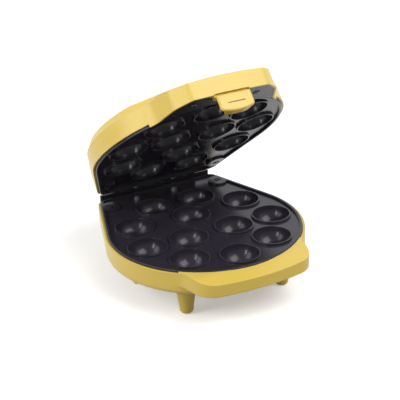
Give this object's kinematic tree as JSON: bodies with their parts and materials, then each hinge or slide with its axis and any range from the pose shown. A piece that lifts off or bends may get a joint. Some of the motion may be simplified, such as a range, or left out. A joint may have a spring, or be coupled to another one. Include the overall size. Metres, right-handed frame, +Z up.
{
  "type": "cake-ball maker",
  "caption": "Countertop maker for small round cakes, with heated cup plates in a hinged clamshell housing, a split front grip and a swinging latch.",
  "frame": {"origin": "middle of the whole box with the lid standing open, at the plane the four feet stand on", "axes": "+Z up, +X to the right seen from the front, +Y from the grip towards the hinge"},
  "size_m": [0.2124, 0.2538, 0.2435],
  "materials": {
    "housing": "smooth pale yellow moulding",
    "plates": "cast aluminium under a black non-stick coating",
    "black_trim": "fine matte black moulding",
    "steel": "plain steel",
    "dark_screws": "blackened steel",
    "element": "dull heat-stained tube",
    "sheet_metal": "bright rolled sheet",
    "ceramic": "unglazed ceramic",
    "flexible_parts": "soft matte black",
    "red_lens": "clear red",
    "green_lens": "clear green"
  },
  "bodies": {
    "base": {"base_shell": "housing", "front_left_foot": "housing", "front_right_foot": "housing", "rear_left_foot": "housing", "rear_right_foot": "housing", "foot_screws": "steel", "lower_plate": "plates", "lower_plate_screws": "dark_screws", "lower_heater": "element", "lower_heater_straps": "sheet_metal", "lower_strap_screws": "steel", "lower_reflector": "sheet_metal", "thermostat": "ceramic", "thermal_fuse": "ceramic", "terminal_block": "ceramic", "base_leads": "flexible_parts", "cord_gland": "flexible_parts", "hinge_block": "black_trim", "hinge_block_screws": "dark_screws", "left_hinge_pin": "steel", "right_hinge_pin": "steel"},
    "lid": {"lid_shell": "housing", "lid_handle_cover": "black_trim", "handle_cover_screws": "dark_screws", "upper_plate": "plates", "upper_plate_screws": "dark_screws", "upper_heater": "element", "upper_heater_straps": "sheet_metal", "upper_strap_screws": "steel", "upper_reflector": "sheet_metal", "latch_pin": "steel", "power_lamp_lens": "red_lens", "ready_lamp_lens": "green_lens", "lamp_holder": "ceramic", "lid_leads": "flexible_parts"},
    "latch": {"latch": "housing"}
  },
  "joints": [
    {"name": "lid_hinge", "type": "hinge", "parent": "base", "child": "lid", "pos_m": [0, 0.1194, 0.0657], "axis": [-1, 0, 0], "range_deg": [-42.2, 54.8]},
    {"name": "latch_pivot", "type": "hinge", "parent": "lid", "child": "latch", "pos_m": [0, -0.06607, 0.22753], "axis": [-1, 0, 0], "range_deg": [0, 15]}
  ]
}
